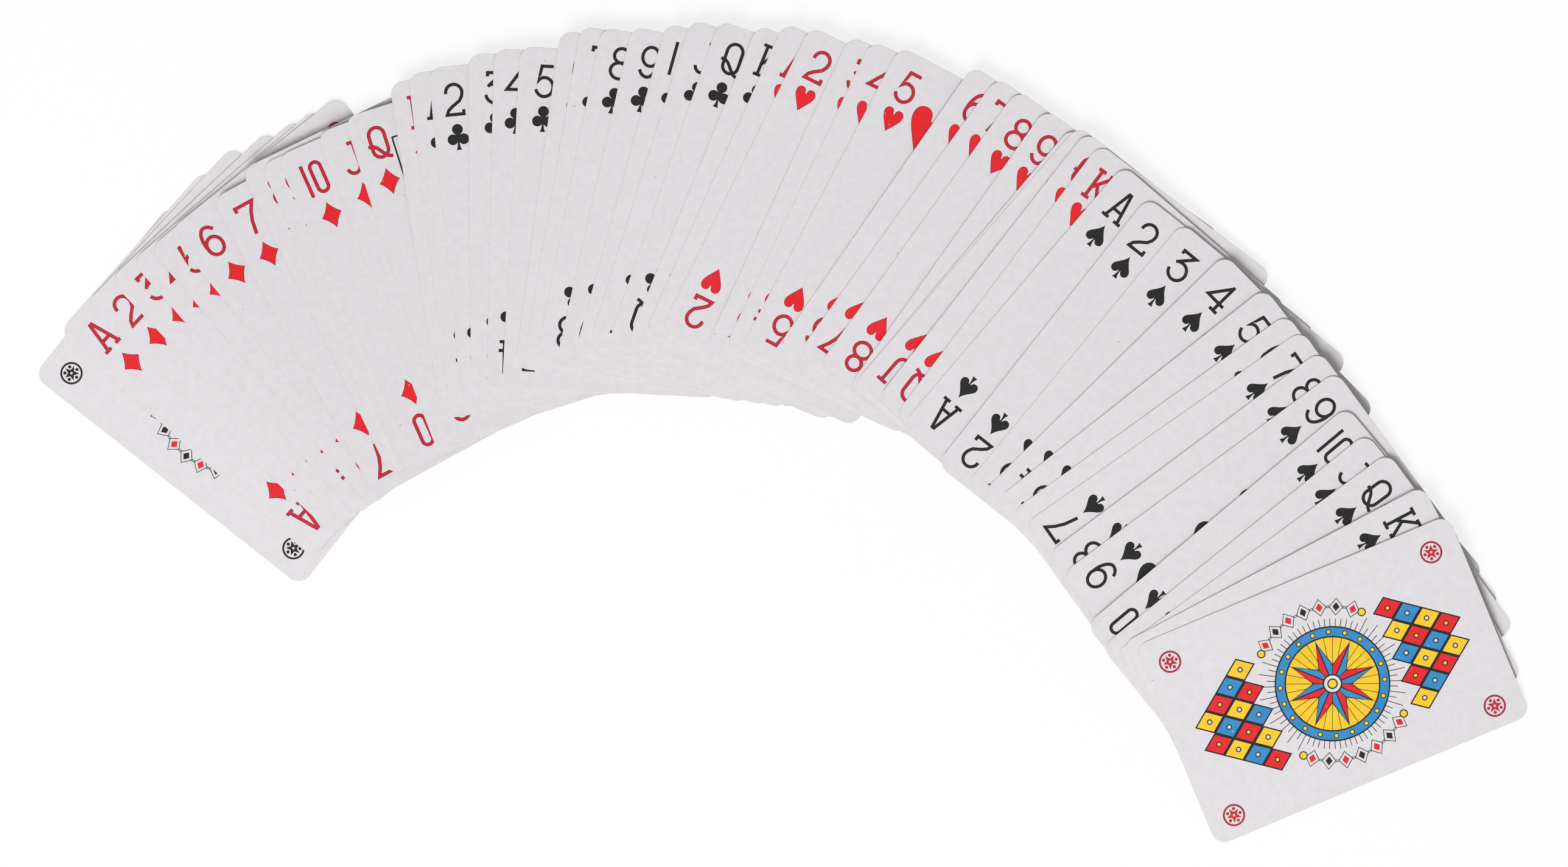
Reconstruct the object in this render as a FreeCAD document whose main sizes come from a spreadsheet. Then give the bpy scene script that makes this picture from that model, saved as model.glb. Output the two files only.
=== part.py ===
import FreeCAD, Part
import math
import os
import Sketcher

# A deck of 54 playing cards, face up, drawn out sideways over a table into a curved ribbon.
# Seen from above with +Y away from the reader, the ribbon runs clockwise from the lowest card at
# the left, a joker, to the top card at the right, the other joker. Z is up, and the table is Z = 0.
# The origin is the middle of the spread's box in plan, on the table.

doc = FreeCAD.newDocument("playing_card_deck")

# The driving sizes, in millimetres but for one angle and one count.
SIZES = [
    # one card, bridge size
    ("card_width", 57.0),
    ("card_length", 89.0),
    ("card_thickness", 0.3),
    ("corner_radius", 3.5),
    # the arc along which the cards' top left corners lie
    ("arc_radius", 205.7),
    # how steeply a card lies on the ones beneath it, and how many cards it takes to get there
    ("full_lean_degrees", 5.5),
    ("ramp_count", 8.0),
    # air left between a card and the ones beneath it, where they come closest
    ("stacking_clearance", 0.03),
    # how far beyond its own length a card is drawn out of the spread, so that it lies free
    ("draw_beyond", 13.0),
]

sheet = doc.addObject("Spreadsheet::Sheet", "Sizes")
for row, (alias, value) in enumerate(SIZES, 1):
    sheet.set("A%d" % row, alias)
    sheet.set("B%d" % row, str(value))
    sheet.setAlias("B%d" % row, alias)
doc.recompute()

card_width = sheet.get("card_width")
card_length = sheet.get("card_length")
card_thickness = sheet.get("card_thickness")
corner_radius = sheet.get("corner_radius")
arc_radius = sheet.get("arc_radius")
full_lean = math.radians(sheet.get("full_lean_degrees"))
ramp_count = sheet.get("ramp_count")
stacking_clearance = sheet.get("stacking_clearance")
draw_reach = card_length + sheet.get("draw_beyond")

# Where each card lies, from the lowest to the top one. The first number is how far round the arc
# its top left corner is, and the second how far the card itself is turned, both in degrees
# clockwise from straight up the table. The third is how far that corner lies outside the arc, or
# inside where it is negative, as a share of the card's length. The hand that drew the deck out was
# uneven, so the steps are too.
PLACE_SHARES = [
    ("joker_black", -56.1, -51.75, -0.010),
    ("ace_of_diamonds", -52.4, -48.25, 0.005),
    ("two_of_diamonds", -49.7, -47.25, -0.005),
    ("three_of_diamonds", -47.1, -43.5, -0.010),
    ("four_of_diamonds", -45.0, -41.25, -0.020),
    ("five_of_diamonds", -43.4, -40.5, -0.030),
    ("six_of_diamonds", -41.5, -39.0, -0.030),
    ("seven_of_diamonds", -37.5, -28.75, -0.040),
    ("eight_of_diamonds", -34.5, -26.0, -0.020),
    ("nine_of_diamonds", -33.1, -24.75, -0.040),
    ("ten_of_diamonds", -31.8, -24.0, -0.045),
    ("jack_of_diamonds", -28.4, -21.0, -0.045),
    ("queen_of_diamonds", -26.0, -17.5, -0.040),
    ("king_of_diamonds", -21.9, -8.75, 0.000),
    ("ace_of_clubs", -20.4, -6.75, 0.005),
    ("two_of_clubs", -18.9, -5.75, 0.000),
    ("three_of_clubs", -15.8, -0.5, 0.005),
    ("four_of_clubs", -13.9, 1.25, 0.000),
    ("five_of_clubs", -12.0, 3.0, -0.010),
    ("six_of_clubs", -8.9, 7.75, 0.015),
    ("seven_of_clubs", -7.4, 9.75, 0.020),
    ("eight_of_clubs", -5.9, 11.25, 0.010),
    ("nine_of_clubs", -3.7, 12.75, 0.005),
    ("ten_of_clubs", -1.2, 15.5, 0.010),
    ("jack_of_clubs", 0.6, 17.5, 0.020),
    ("queen_of_clubs", 2.6, 19.0, 0.020),
    ("king_of_clubs", 5.4, 22.25, 0.015),
    ("ace_of_hearts", 7.3, 24.25, 0.030),
    ("two_of_hearts", 9.2, 26.25, 0.030),
    ("three_of_hearts", 12.1, 24.75, 0.025),
    ("four_of_hearts", 13.7, 25.5, 0.025),
    ("five_of_hearts", 15.8, 27.75, 0.030),
    ("six_of_hearts", 21.2, 34.75, 0.045),
    ("seven_of_hearts", 23.1, 35.75, 0.040),
    ("eight_of_hearts", 24.8, 35.75, 0.030),
    ("nine_of_hearts", 27.2, 35.25, 0.015),
    ("ten_of_hearts", 29.5, 40.25, 0.005),
    ("jack_of_hearts", 29.9, 41.0, 0.020),
    ("queen_of_hearts", 30.6, 38.0, 0.015),
    ("king_of_hearts", 31.9, 37.0, 0.005),
    ("ace_of_spades", 34.2, 40.5, -0.010),
    ("two_of_spades", 37.0, 38.25, -0.045),
    ("three_of_spades", 40.2, 39.5, -0.040),
    ("four_of_spades", 44.1, 45.5, -0.025),
    ("five_of_spades", 47.9, 51.75, -0.010),
    ("six_of_spades", 50.4, 54.25, -0.010),
    ("seven_of_spades", 52.0, 55.0, -0.005),
    ("eight_of_spades", 54.0, 53.25, 0.000),
    ("nine_of_spades", 55.9, 53.5, 0.005),
    ("ten_of_spades", 58.5, 50.0, -0.025),
    ("jack_of_spades", 60.9, 51.0, -0.015),
    ("queen_of_spades", 62.9, 53.75, 0.015),
    ("king_of_spades", 66.1, 62.25, 0.065),
    ("joker_red", 68.7, 67.25, 0.100),
]


def dot(p, q):
    """The scalar product of two points in plan."""
    return p[0] * q[0] + p[1] * q[1]


def moved(p, way, length):
    """The point p, moved by a length along a unit direction in plan."""
    return (p[0] + length * way[0], p[1] + length * way[1])


def shared_corners(outline, other):
    """The corners of the area that two convex outlines share, both given anticlockwise."""
    corners = outline
    for start, end in zip(other, other[1:] + other[:1]):
        inward = (start[1] - end[1], end[0] - start[0])
        kept = []
        for p, q in zip(corners, corners[1:] + corners[:1]):
            p_in = dot(inward, p) - dot(inward, start)
            q_in = dot(inward, q) - dot(inward, start)
            if p_in >= 0:
                kept.append(p)
            if (p_in >= 0) != (q_in >= 0):
                share = p_in / (p_in - q_in)
                kept.append((p[0] + share * (q[0] - p[0]), p[1] + share * (q[1] - p[1])))
        corners = kept
        if not corners:
            break
    return corners


class Place:
    """One card's place: stiff and flat, its left long edge raised, its right one level."""

    def __init__(self, order, name, sweep, turn, out_share):
        sweep = math.radians(sweep)
        self.name = name
        self.turn = math.radians(turn)
        self.lean = full_lean * min(1.0, order / ramp_count)
        self.right = (math.cos(self.turn), -math.sin(self.turn))
        self.up = (math.sin(self.turn), math.cos(self.turn))
        radius = arc_radius + out_share * card_length
        top_left = (radius * math.sin(sweep), radius * math.cos(sweep))
        # the top right corner of its underside, which the card is set down by
        self.corner = moved(top_left, self.right, card_width * math.cos(self.lean))
        self.rise = 0.0
        # the lowest card stays, and every other can be drawn out along its own length
        self.reach = draw_reach if order else 0.0

    def outline(self, drawn):
        """The card's corners in plan, anticlockwise, when it is drawn out by that length."""
        top_right = moved(self.corner, self.up, drawn)
        low_right = moved(top_right, self.up, -card_length)
        left = -card_width * math.cos(self.lean)
        overhang = card_thickness * math.sin(self.lean)
        return [
            moved(low_right, self.right, left),
            moved(low_right, self.right, overhang),
            moved(top_right, self.right, overhang),
            moved(top_right, self.right, left),
        ]

    def underside(self, p):
        """How high the card's underside is over a point in plan."""
        past = dot(p, self.right) - dot(self.corner, self.right)
        return self.rise - math.tan(self.lean) * past

    def upper_face(self, p):
        """How high the card's upper face is over a point in plan."""
        return self.underside(p) + card_thickness / math.cos(self.lean)


# Each card is lowered until its right edge is on the table, or until it is the stacking clearance
# above the cards that it lies on, both where it lies now and where all are drawn out.
places = []
for order, (name, sweep, turn, out_share) in enumerate(PLACE_SHARES):
    card = Place(order, name, sweep, turn, out_share)
    lift = 0.0
    for beneath in places:
        at_rest = shared_corners(card.outline(0), beneath.outline(0))
        drawn_out = shared_corners(card.outline(card.reach), beneath.outline(beneath.reach))
        for p in at_rest + drawn_out:
            lift = max(lift, beneath.upper_face(p) + stacking_clearance - card.underside(p))
    card.rise = lift
    places.append(card)


def draw_outline(sketch):
    """A rounded rectangle whose top right corner, were it sharp, is the sketch's origin."""
    left = -card_width
    low = -card_length
    rim = corner_radius
    level = FreeCAD.Vector(0, 0, 1)

    def line(x0, y0, x1, y1):
        return Part.LineSegment(FreeCAD.Vector(x0, y0, 0), FreeCAD.Vector(x1, y1, 0))

    def corner(x, y, quarter):
        circle = Part.Circle(FreeCAD.Vector(x, y, 0), level, rim)
        return Part.ArcOfCircle(circle, quarter * math.pi / 2, (quarter + 1) * math.pi / 2)

    sketch.addGeometry(
        [
            line(left + rim, low, -rim, low),
            corner(-rim, low + rim, -1),
            line(0, low + rim, 0, -rim),
            corner(-rim, -rim, 0),
            line(-rim, 0, left + rim, 0),
            corner(left + rim, -rim, 1),
            line(left, -rim, left, low + rim),
            corner(left + rim, low + rim, 2),
        ],
        False,
    )
    start, end = 1, 2
    for piece in range(8):
        sketch.addConstraint(Sketcher.Constraint("Tangent", piece, end, (piece + 1) % 8, start))
    for level_line, upright_line in ((0, 2), (4, 6)):
        sketch.addConstraint(Sketcher.Constraint("Horizontal", level_line))
        sketch.addConstraint(Sketcher.Constraint("Vertical", upright_line))
    for arc in (3, 5, 7):
        sketch.addConstraint(Sketcher.Constraint("Equal", 1, arc))
    sketch.addConstraint(Sketcher.Constraint("PointOnObject", 2, start, -2))
    sketch.addConstraint(Sketcher.Constraint("PointOnObject", 4, start, -1))
    for text, constraint in (
        ("rim", Sketcher.Constraint("Radius", 1, rim)),
        ("across", Sketcher.Constraint("DistanceX", 6, end, 2, start, card_width)),
        ("along", Sketcher.Constraint("DistanceY", 0, end, 4, start, card_length)),
    ):
        sketch.renameConstraint(sketch.addConstraint(constraint), text)
    sketch.setExpression("Constraints.rim", "Sizes.corner_radius")
    sketch.setExpression("Constraints.across", "Sizes.card_width")
    sketch.setExpression("Constraints.along", "Sizes.card_length")


# One sheet of card stock for each place: its rounded outline, made as thick as the stock.
bodies = []
for card in places:
    body = doc.addObject("PartDesign::Body", card.name)
    body.Label = card.name
    ground = [plane for plane in body.Origin.OriginFeatures if plane.Role == "XY_Plane"][0]
    sketch = body.newObject("Sketcher::SketchObject", "outline_" + card.name)
    sketch.AttachmentSupport = [(ground, "")]
    sketch.MapMode = "FlatFace"
    draw_outline(sketch)
    pad = body.newObject("PartDesign::Pad", "stock_" + card.name)
    pad.Profile = sketch
    pad.setExpression("Length", "Sizes.card_thickness")
    body.Tip = pad
    turned = FreeCAD.Rotation(FreeCAD.Vector(0, 0, 1), -math.degrees(card.turn))
    leaned = FreeCAD.Rotation(FreeCAD.Vector(0, 1, 0), math.degrees(card.lean))
    corner = FreeCAD.Vector(card.corner[0], card.corner[1], card.rise)
    body.Placement = FreeCAD.Placement(corner, turned.multiply(leaned))
    bodies.append(body)
doc.recompute()

# The origin goes to the middle of the spread.
whole = FreeCAD.BoundBox()
for body in bodies:
    whole.add(body.Shape.optimalBoundingBox(False, False))
for body in bodies:
    seat = body.Placement
    seat.Base = seat.Base - FreeCAD.Vector(whole.Center.x, whole.Center.y, 0)
    body.Placement = seat
doc.recompute()

# Every object must have been made, and each card must hold its outline's area times its thickness.
for thing in doc.Objects:
    if "Invalid" in thing.State or "Error" in thing.State:
        raise RuntimeError("not made: " + thing.Name)
cut_away = (4 - math.pi) * corner_radius**2
right_volume = (card_width * card_length - cut_away) * card_thickness
for body in bodies:
    if body.Shape.isNull() or not body.Shape.isValid() or len(body.Shape.Solids) != 1:
        raise RuntimeError("not one sound solid: " + body.Label)
    if abs(body.Shape.Volume / right_volume - 1) > 0.0001:
        raise RuntimeError("wrong volume: " + body.Label)

os.makedirs("parts", exist_ok=True)
for body in bodies:
    body.Shape.exportStep(os.path.join("parts", body.Label + ".step"))

print("cards", len(bodies))
print("spread", round(whole.XLength, 1), "by", round(whole.YLength, 1), "mm")
print("origin from the arc's centre", round(whole.Center.x, 2), round(whole.Center.y, 2))
print("height", round(whole.ZMin, 4), "to", round(whole.ZMax, 3), "mm")
print("highest right edge", round(max(card.rise for card in places), 2), "mm")
print("cards with an edge on the table", [card.name for card in places if card.rise == 0])
print("drawn out by", draw_reach, "mm")
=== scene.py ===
import math

import bpy
from mathutils import Matrix, Vector
from mathutils.geometry import delaunay_2d_cdt


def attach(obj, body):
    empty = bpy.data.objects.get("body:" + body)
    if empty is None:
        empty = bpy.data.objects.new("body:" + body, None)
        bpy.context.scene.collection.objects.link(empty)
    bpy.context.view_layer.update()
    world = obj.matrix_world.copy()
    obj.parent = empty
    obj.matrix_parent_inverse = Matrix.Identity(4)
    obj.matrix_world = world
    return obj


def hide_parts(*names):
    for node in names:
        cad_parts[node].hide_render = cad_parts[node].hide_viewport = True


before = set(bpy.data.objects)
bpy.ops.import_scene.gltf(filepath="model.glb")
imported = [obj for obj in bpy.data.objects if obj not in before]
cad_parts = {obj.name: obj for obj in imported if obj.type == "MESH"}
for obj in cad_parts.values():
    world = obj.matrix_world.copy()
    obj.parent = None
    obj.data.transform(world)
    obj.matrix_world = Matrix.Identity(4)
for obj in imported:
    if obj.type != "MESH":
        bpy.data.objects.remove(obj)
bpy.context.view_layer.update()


# The camera hangs straight above the middle of the spread and looks down on it. Its lens is long
# and it is far off, so that every card is seen at one scale: 6.281 pixels to a millimetre.
MM = 0.001
PICTURE_WIDTH = 2576
PIXELS_PER_MM = 6.281
FRAME_WIDTH = PICTURE_WIDTH / PIXELS_PER_MM * MM
LENS = 300.0
SENSOR = 36.0
AIM = Vector((0.31 * MM, -0.23 * MM, 3.5 * MM))
NEAREST_SEEN = 0.01
FARTHEST_SEEN = 20.0

scene = bpy.context.scene
camera = bpy.data.objects.new("camera", bpy.data.cameras.new("camera"))
camera.data.lens = LENS
camera.data.sensor_width = SENSOR
camera.data.clip_start = NEAREST_SEEN
camera.data.clip_end = FARTHEST_SEEN
camera.location = AIM + Vector((0, 0, FRAME_WIDTH * LENS / SENSOR))
scene.collection.objects.link(camera)
scene.camera = camera
scene.view_settings.view_transform = "Standard"


# The ground is a plain white table top, lit by one big soft lamp high up on the near left and by
# an even white room. The camera sees the room as white, and the table as white but for a soft
# shadow. From below the table is clear, and lets the room's light up to the backs of the cards.
ROOM_LIGHT = 0.35
LAMP_POWER = 60.5
LAMP_SIZE = 1.6
LAMP_COLOUR = (1.0, 0.99, 0.975)
LAMP_PLACE = Vector((-0.75, -1.25, 2.3))
PURE_WHITE = (1, 1, 1, 1)
TABLE_WHITE = (0.98, 0.98, 0.98, 1)
TABLE_ROUGHNESS = 0.7
SHADOW_SHARE = 0.2
GROUND_REACH = 3.0
GROUND_DROP = 0.05 * MM


def wire(tree, start, end):
    """Joins an output socket to an input socket."""
    tree.links.new(start, end)


def node(tree, kind, **settings):
    """Adds a shader node and sets its own properties."""
    made = tree.nodes.new(kind)
    for name, value in settings.items():
        setattr(made, name, value)
    return made


def seen_directly(tree):
    """1 for rays that the eye follows to a surface: straight, mirrored or let through."""
    path = node(tree, "ShaderNodeLightPath")
    either = node(tree, "ShaderNodeMath", operation="MAXIMUM")
    wire(tree, path.outputs["Is Camera Ray"], either.inputs[0])
    wire(tree, path.outputs["Is Glossy Ray"], either.inputs[1])
    any_ray = node(tree, "ShaderNodeMath", operation="MAXIMUM")
    wire(tree, either.outputs[0], any_ray.inputs[0])
    wire(tree, path.outputs["Is Transmission Ray"], any_ray.inputs[1])
    return any_ray.outputs[0]


def shader_choice(tree, amount, first, second):
    """One surface where the amount is 0 and another where it is 1."""
    choice = node(tree, "ShaderNodeMixShader")
    wire(tree, amount, choice.inputs[0])
    wire(tree, first.outputs[0], choice.inputs[1])
    wire(tree, second.outputs[0], choice.inputs[2])
    return choice


room = bpy.data.worlds.new("white room")
room.use_nodes = True
scene.world = room
tree = room.node_tree
tree.nodes.clear()
lighting = node(tree, "ShaderNodeBackground")
lighting.inputs["Color"].default_value = PURE_WHITE
lighting.inputs["Strength"].default_value = ROOM_LIGHT
backdrop = node(tree, "ShaderNodeBackground")
backdrop.inputs["Color"].default_value = PURE_WHITE
backdrop.inputs["Strength"].default_value = 1.0
choice = shader_choice(tree, seen_directly(tree), lighting, backdrop)
wire(tree, choice.outputs[0], node(tree, "ShaderNodeOutputWorld").inputs["Surface"])

lamp = bpy.data.objects.new("window light", bpy.data.lights.new("window light", "AREA"))
lamp.data.shape = "DISK"
lamp.data.size = LAMP_SIZE
lamp.data.energy = LAMP_POWER
lamp.data.color = LAMP_COLOUR
lamp.location = LAMP_PLACE
lamp.rotation_euler = (-LAMP_PLACE).to_track_quat("-Z", "Y").to_euler()
scene.collection.objects.link(lamp)

table_white = bpy.data.materials.new("table white")
table_white.use_nodes = True
tree = table_white.node_tree
tree.nodes.clear()
top = node(tree, "ShaderNodeBsdfPrincipled")
top.inputs["Base Color"].default_value = TABLE_WHITE
top.inputs["Roughness"].default_value = TABLE_ROUGHNESS
glow = node(tree, "ShaderNodeEmission")
glow.inputs["Strength"].default_value = 1.0
share = node(tree, "ShaderNodeMath", operation="MULTIPLY")
share.inputs[1].default_value = 1 - SHADOW_SHARE
wire(tree, seen_directly(tree), share.inputs[0])
whiter = shader_choice(tree, share.outputs[0], top, glow)
below = node(tree, "ShaderNodeBsdfTransparent")
clear = node(tree, "ShaderNodeMath", operation="MAXIMUM")
wire(tree, node(tree, "ShaderNodeNewGeometry").outputs["Backfacing"], clear.inputs[0])
wire(tree, node(tree, "ShaderNodeLightPath").outputs["Is Diffuse Ray"], clear.inputs[1])
sided = shader_choice(tree, clear.outputs[0], whiter, below)
wire(tree, sided.outputs[0], node(tree, "ShaderNodeOutputMaterial").inputs["Surface"])

ground_mesh = bpy.data.meshes.new("ground")
corners = [(-GROUND_REACH, -GROUND_REACH), (GROUND_REACH, -GROUND_REACH)]
corners += [(GROUND_REACH, GROUND_REACH), (-GROUND_REACH, GROUND_REACH)]
ground_mesh.from_pydata([(x, y, -GROUND_DROP) for x, y in corners], [], [(0, 1, 2, 3)])
ground_mesh.materials.append(table_white)
ground = bpy.data.objects.new("ground", ground_mesh)
scene.collection.objects.link(ground)


# The two jokers are the lowest card and the top one. Like every card they are die cut from one
# sheet of coated card stock, whose edge rolls over a little where the die went in, and printed on
# both faces: here a star among harlequin lozenges, with a star in a ring for a corner mark.
CORNER_RADIUS = 3.5
CORNER_STEPS = 8
# how far the edge rolls over, inward and down, and how much the blank keeps inside its solid
ROLLED_EDGE = 0.07
ROLLED_DEPTH = 0.6 * ROLLED_EDGE
HAIR = 0.005
# how square to the face a side of the solid has to be, to count as an edge
SQUARE_TO_FACE = 0.02
# how fine the cutting of the face along its print is, in millimetres
CUT_FINENESS = 1e-5


def arc(x, y, across, up, start, end, steps=CORNER_STEPS):
    """Points along part of an ellipse round (x, y), from one angle in degrees to another."""
    turns = [math.radians(start + (end - start) * k / steps) for k in range(steps + 1)]
    return [(x + across * math.cos(a), y + up * math.sin(a)) for a in turns]


def rounded_sheet(width, length, inset):
    """A card's outline about its own middle, drawn in from the edge by the inset."""
    radius = CORNER_RADIUS - inset
    x = width / 2 - CORNER_RADIUS
    y = length / 2 - CORNER_RADIUS
    return (
        arc(x, y, radius, radius, 0, 90)
        + arc(-x, y, radius, radius, 90, 180)
        + arc(-x, -y, radius, radius, 180, 270)
        + arc(x, -y, radius, radius, 270, 360)
    )


def seat_of(solid):
    """Where a packed card lies, with its origin in the middle of its back, and its three sizes."""
    faces = solid.data.polygons
    face_way = max(faces, key=lambda f: f.normal.z).normal.normalized()
    edges = [f for f in faces if abs(f.normal.dot(face_way)) < SQUARE_TO_FACE]
    right_way = max(edges, key=lambda f: f.area).normal.normalized()
    if right_way.x < 0:
        right_way = -right_way
    up_way = face_way.cross(right_way)
    ways = (right_way, up_way, face_way)
    spans = []
    for way in ways:
        reach = [v.co.dot(way) for v in solid.data.vertices]
        spans.append((min(reach), max(reach)))
    middles = [(low + high) / 2 for low, high in spans]
    middles[2] = spans[2][0]
    place = sum((m * way for m, way in zip(middles, ways)), Vector())
    turn = Matrix([way[:] for way in ways]).transposed().to_4x4()
    sizes = [(high - low) / MM for low, high in spans]
    return Matrix.Translation(place) @ turn, sizes


card_width, card_length = seat_of(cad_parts["joker_black"])[1][:2]

# the stock seen close to: specks a quarter of a millimetre across in a few cells out of many,
# and a pressed finish with a third of a millimetre from dimple to dimple
SPECK_CELLS_PER_METRE = 900.0
SPECK_RADIUS_SHARE = 0.22
DIMPLES_PER_METRE = 2800.0
DIMPLE_DEPTH = 0.02 * MM
# the span of the mottling over which the tone and the roughness drift, and how far the latter does
TONE_SPAN = (0.35, 0.65)
ROUGHNESS_SPAN = (0.3, 0.7)
ROUGHNESS_DRIFT = 0.05


def grain_group():
    """Coated stock seen close to: soft mottling, sparse specks and a fine pressed surface."""
    group = bpy.data.node_groups.new("stock grain", "ShaderNodeTree")
    for name in ("Mottle Size", "Speck Share"):
        group.interface.new_socket(name, in_out="INPUT", socket_type="NodeSocketFloat")
    for name in ("Mottle", "Specks", "Height"):
        group.interface.new_socket(name, in_out="OUTPUT", socket_type="NodeSocketFloat")
    inputs = node(group, "NodeGroupInput")
    outputs = node(group, "NodeGroupOutput")
    spot = node(group, "ShaderNodeTexCoord").outputs["Object"]
    clouds = node(group, "ShaderNodeTexNoise")
    clouds.inputs["Detail"].default_value = 3.0
    wire(group, spot, clouds.inputs["Vector"])
    wire(group, inputs.outputs["Mottle Size"], clouds.inputs["Scale"])
    wire(group, clouds.outputs["Fac"], outputs.inputs["Mottle"])
    cells = node(group, "ShaderNodeTexVoronoi")
    cells.inputs["Scale"].default_value = SPECK_CELLS_PER_METRE
    wire(group, spot, cells.inputs["Vector"])
    tint = node(group, "ShaderNodeSeparateColor")
    wire(group, cells.outputs["Color"], tint.inputs[0])
    rare = node(group, "ShaderNodeMath", operation="LESS_THAN")
    wire(group, tint.outputs[0], rare.inputs[0])
    wire(group, inputs.outputs["Speck Share"], rare.inputs[1])
    near = node(group, "ShaderNodeMath", operation="LESS_THAN")
    wire(group, cells.outputs["Distance"], near.inputs[0])
    near.inputs[1].default_value = SPECK_RADIUS_SHARE
    both = node(group, "ShaderNodeMath", operation="MULTIPLY")
    wire(group, rare.outputs[0], both.inputs[0])
    wire(group, near.outputs[0], both.inputs[1])
    wire(group, both.outputs[0], outputs.inputs["Specks"])
    finish = node(group, "ShaderNodeTexNoise")
    finish.inputs["Scale"].default_value = DIMPLES_PER_METRE
    finish.inputs["Detail"].default_value = 1.0
    wire(group, spot, finish.inputs["Vector"])
    wire(group, finish.outputs["Fac"], outputs.inputs["Height"])
    return group


grain = grain_group()


def blend(tree, amount, first, second):
    """A colour between two, by an amount; each is a socket or a plain colour."""
    mix = node(tree, "ShaderNodeMix", data_type="RGBA")
    for socket, value in ((mix.inputs[0], amount), (mix.inputs[6], first), (mix.inputs[7], second)):
        if isinstance(value, bpy.types.NodeSocket):
            wire(tree, value, socket)
        else:
            socket.default_value = (*value, 1)
    return mix.outputs[2]


def ranged(tree, value, low, high, to_low, to_high):
    """A value moved evenly from one range to another."""
    move = node(tree, "ShaderNodeMapRange")
    wire(tree, value, move.inputs["Value"])
    bounds = {"From Min": low, "From Max": high, "To Min": to_low, "To Max": to_high}
    for name, bound in bounds.items():
        move.inputs[name].default_value = bound
    return move.outputs[0]


def linear(red, green, blue):
    """A colour read off a screen, from 0 to 255, in the amounts of light that it stands for."""
    parts = (red / 255, green / 255, blue / 255)
    return tuple(((c + 0.055) / 1.055) ** 2.4 if c > 0.04045 else c / 12.92 for c in parts)


def coated(name, tones, speck_share, roughness, sheen=0.35, mottle_size=260.0, bump=0.0):
    """A coated surface that drifts between two tones, with sparse specks of a third."""
    light, dark, speck = [linear(*tone) for tone in tones]
    material = bpy.data.materials.new(name)
    material.use_nodes = True
    tree = material.node_tree
    skin = tree.nodes["Principled BSDF"]
    stock = node(tree, "ShaderNodeGroup", node_tree=grain)
    stock.inputs["Mottle Size"].default_value = mottle_size
    stock.inputs["Speck Share"].default_value = speck_share
    tone = ranged(tree, stock.outputs["Mottle"], *TONE_SPAN, 0.0, 1.0)
    colour = blend(tree, tone, light, dark)
    wire(tree, blend(tree, stock.outputs["Specks"], colour, speck), skin.inputs["Base Color"])
    skin.inputs["Roughness"].default_value = roughness
    skin.inputs["Specular IOR Level"].default_value = sheen
    if bump:
        smooth, rough = roughness - ROUGHNESS_DRIFT, roughness + ROUGHNESS_DRIFT
        patchy = ranged(tree, stock.outputs["Mottle"], *ROUGHNESS_SPAN, smooth, rough)
        wire(tree, patchy, skin.inputs["Roughness"])
        pressed = node(tree, "ShaderNodeBump")
        pressed.inputs["Strength"].default_value = bump
        pressed.inputs["Distance"].default_value = DIMPLE_DEPTH
        wire(tree, stock.outputs["Height"], pressed.inputs["Height"])
        wire(tree, pressed.outputs[0], skin.inputs["Normal"])
    return material


def coated_paper(name):
    """The smooth white coating of a card's face or back."""
    tones = ((225, 222, 227), (220, 217, 221), (186, 180, 182))
    return coated(name, tones, 0.0012, 0.46, mottle_size=520.0, bump=0.12)


# the cut edge's tones: the cream of the paper core, partly darkened with painted shade that stands in
# for the contact shadow and the rounding along the rolled edge
EDGE_CORE_AND_SHADE_TONES = ((222, 216, 213), (202, 195, 191), (164, 154, 148))
face_white = coated_paper("card face")
cut_edge = coated("cut edge", EDGE_CORE_AND_SHADE_TONES, 0.02, 0.85, mottle_size=1800.0, bump=0.3)

INKS = [
    coated("red ink", ((230, 32, 44), (224, 26, 38), (246, 120, 120)), 0.03, 0.42, 0.25),
    coated("deep red ink", ((206, 32, 50), (198, 26, 44), (232, 106, 112)), 0.02, 0.42, 0.25),
    coated("crimson ink", ((160, 24, 52), (150, 20, 48), (170, 40, 66)), 0.01, 0.42),
    coated("black ink", ((36, 34, 36), (30, 28, 30), (92, 86, 84)), 0.008, 0.44, 0.15),
    coated("yellow ink", ((250, 206, 34), (244, 198, 28), (252, 226, 120)), 0.02, 0.42),
    coated("blue ink", ((42, 140, 200), (34, 130, 192), (120, 188, 226)), 0.02, 0.42),
]
RED, DEEP_RED, CRIMSON, BLACK, YELLOW, BLUE, BARE = range(7)

CARD_MAP = "card"
BACK_RED = (172, 30, 44)
BACK_MARGIN = 4.2
BACK_RULE = 0.6
BACK_RULE_GAP = 1.2
LATTICE_PITCH = 4.0
# how far from the middle of a lattice cell its lines begin and its dot ends, in pitches
LATTICE_LINES_FROM = 0.42
LATTICE_DOT_TO = 0.14


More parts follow.
